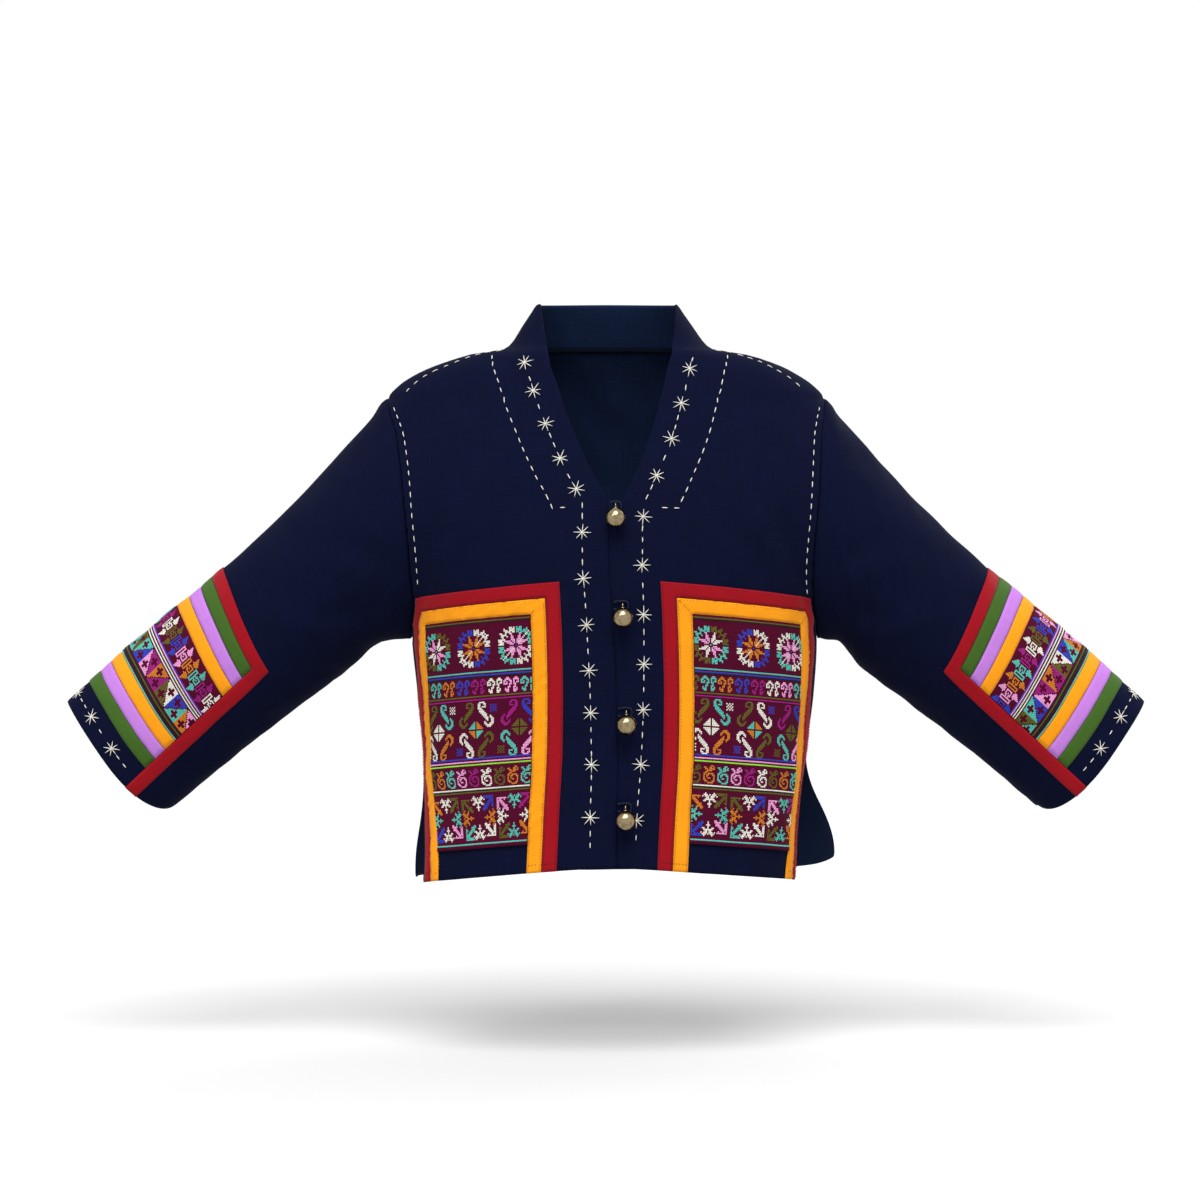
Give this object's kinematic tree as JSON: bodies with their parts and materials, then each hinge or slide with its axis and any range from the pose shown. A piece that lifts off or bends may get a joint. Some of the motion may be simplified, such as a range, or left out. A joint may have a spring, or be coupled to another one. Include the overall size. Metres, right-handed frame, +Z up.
{
  "type": "embroidered jacket",
  "caption": "Short open-collared jacket with wide sleeves, appliqué strips, embroidered panels and ball buttons, filled out as worn.",
  "frame": {"origin": "midpoint of the two points where the shoulder seams meet the neck seam, at the cloth's underside, 2 mm below the seams, where the jacket rests on its wearer or stand", "axes": "+Z up, +X to the wearer's left, the front faces -Y"},
  "size_m": [1.0916, 0.2421, 0.5787],
  "materials": {
    "navy_cloth": "plain weave, matt",
    "red_cloth": "plain weave, matt",
    "yellow_cloth": "plain weave, matt",
    "green_cloth": "plain weave, matt",
    "lilac_cloth": "plain weave, matt",
    "embroidery": "counted stitches on maroon cloth",
    "button_metal": "polished, pale",
    "cord": "round braided cord"
  },
  "bodies": {
    "root": {"back": "navy_cloth", "button_1": "button_metal", "button_2": "button_metal", "button_3": "button_metal", "button_4": "button_metal", "button_loop_1": "cord", "button_loop_2": "cord", "button_loop_3": "cord", "button_loop_4": "cord", "button_shank_1": "button_metal", "button_shank_2": "button_metal", "button_shank_3": "button_metal", "button_shank_4": "button_metal", "collar_stand": "navy_cloth", "front_border_left": "red_cloth", "front_border_right": "red_cloth", "front_left": "navy_cloth", "front_panel_left": "embroidery", "front_panel_right": "embroidery", "front_right": "navy_cloth", "front_strip_left": "yellow_cloth", "front_strip_right": "yellow_cloth", "sleeve_border_left": "red_cloth", "sleeve_border_right": "red_cloth", "sleeve_green_lower_left": "green_cloth", "sleeve_green_lower_right": "green_cloth", "sleeve_green_upper_left": "green_cloth", "sleeve_green_upper_right": "green_cloth", "sleeve_left": "navy_cloth", "sleeve_lilac_lower_left": "lilac_cloth", "sleeve_lilac_lower_right": "lilac_cloth", "sleeve_lilac_upper_left": "lilac_cloth", "sleeve_lilac_upper_right": "lilac_cloth", "sleeve_panel_left": "embroidery", "sleeve_panel_right": "embroidery", "sleeve_right": "navy_cloth", "sleeve_yellow_lower_left": "yellow_cloth", "sleeve_yellow_lower_right": "yellow_cloth", "sleeve_yellow_upper_left": "yellow_cloth", "sleeve_yellow_upper_right": "yellow_cloth"}
  },
  "joints": []
}
